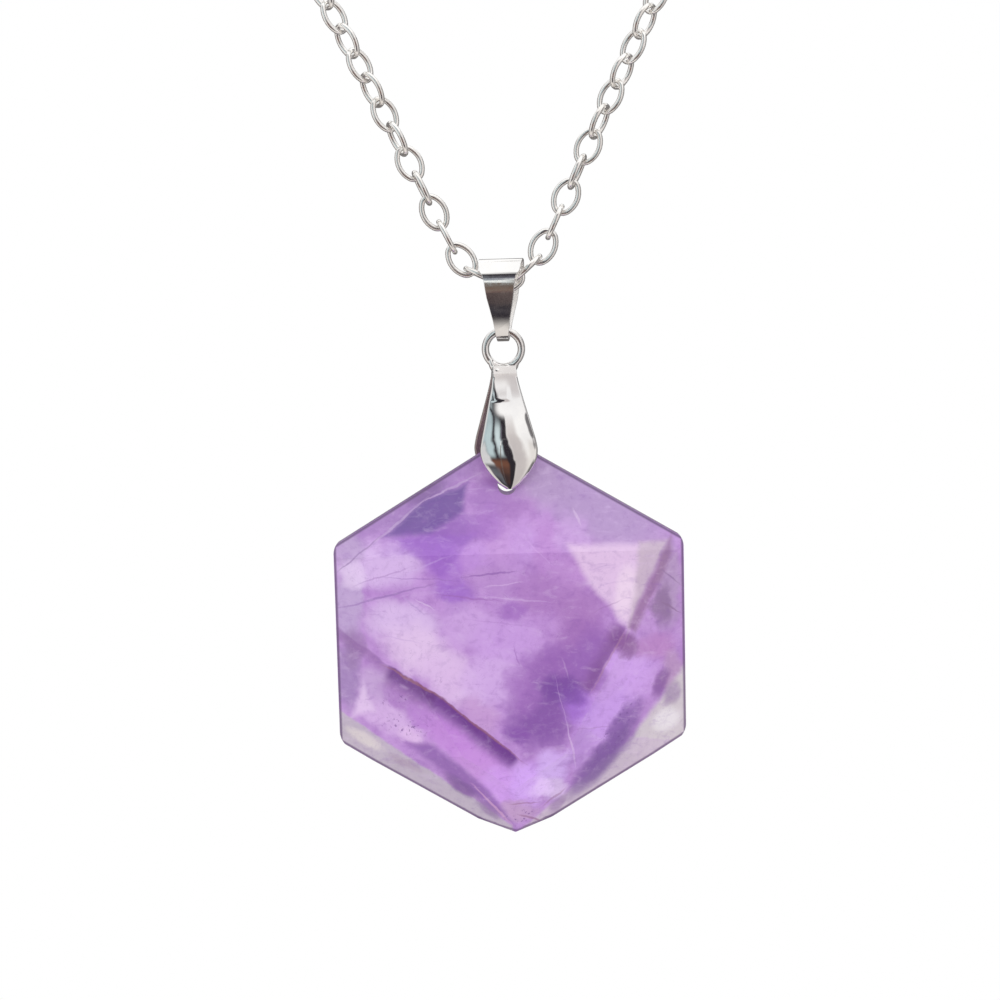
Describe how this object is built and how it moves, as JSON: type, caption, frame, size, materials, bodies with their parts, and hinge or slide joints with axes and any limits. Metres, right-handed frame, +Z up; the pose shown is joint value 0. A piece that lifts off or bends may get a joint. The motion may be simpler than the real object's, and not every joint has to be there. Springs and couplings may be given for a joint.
{
  "type": "crystal pendant necklace",
  "caption": "Hexagonal faceted violet crystal held by a leaf-shaped pinch bail, hanging from a tapered band bail on a fine oval-link silver chain with a plain clasp.",
  "frame": {"origin": "the nape of the neck, on the axis of the clasp, where the chain is held up", "axes": "+Z up as worn, -Y is the front that the crystal shows, +X towards the wearer's left"},
  "size_m": [0.105, 0.1061, 0.1797],
  "materials": {
    "crystal": "polished violet quartz with clouds and veils",
    "bail_metal": "polished silver",
    "chain_metal": "polished silver"
  },
  "bodies": {
    "chain": {"chain_left": "chain_metal", "chain_right": "chain_metal", "clasp": "chain_metal"},
    "bail": {"band_bail": "bail_metal"},
    "drop": {"pinch_bail": "bail_metal", "crystal": "crystal"}
  },
  "joints": [
    {"name": "bail_swing", "type": "hinge", "parent": "chain", "child": "bail", "pos_m": [0, -0.10062, -0.13476], "axis": [1, 0, 0], "range_deg": [-30, 30]},
    {"name": "drop_swing", "type": "hinge", "parent": "bail", "child": "drop", "pos_m": [0, -0.10062, -0.13844], "axis": [1, 0, 0], "range_deg": [-60, 60]}
  ]
}
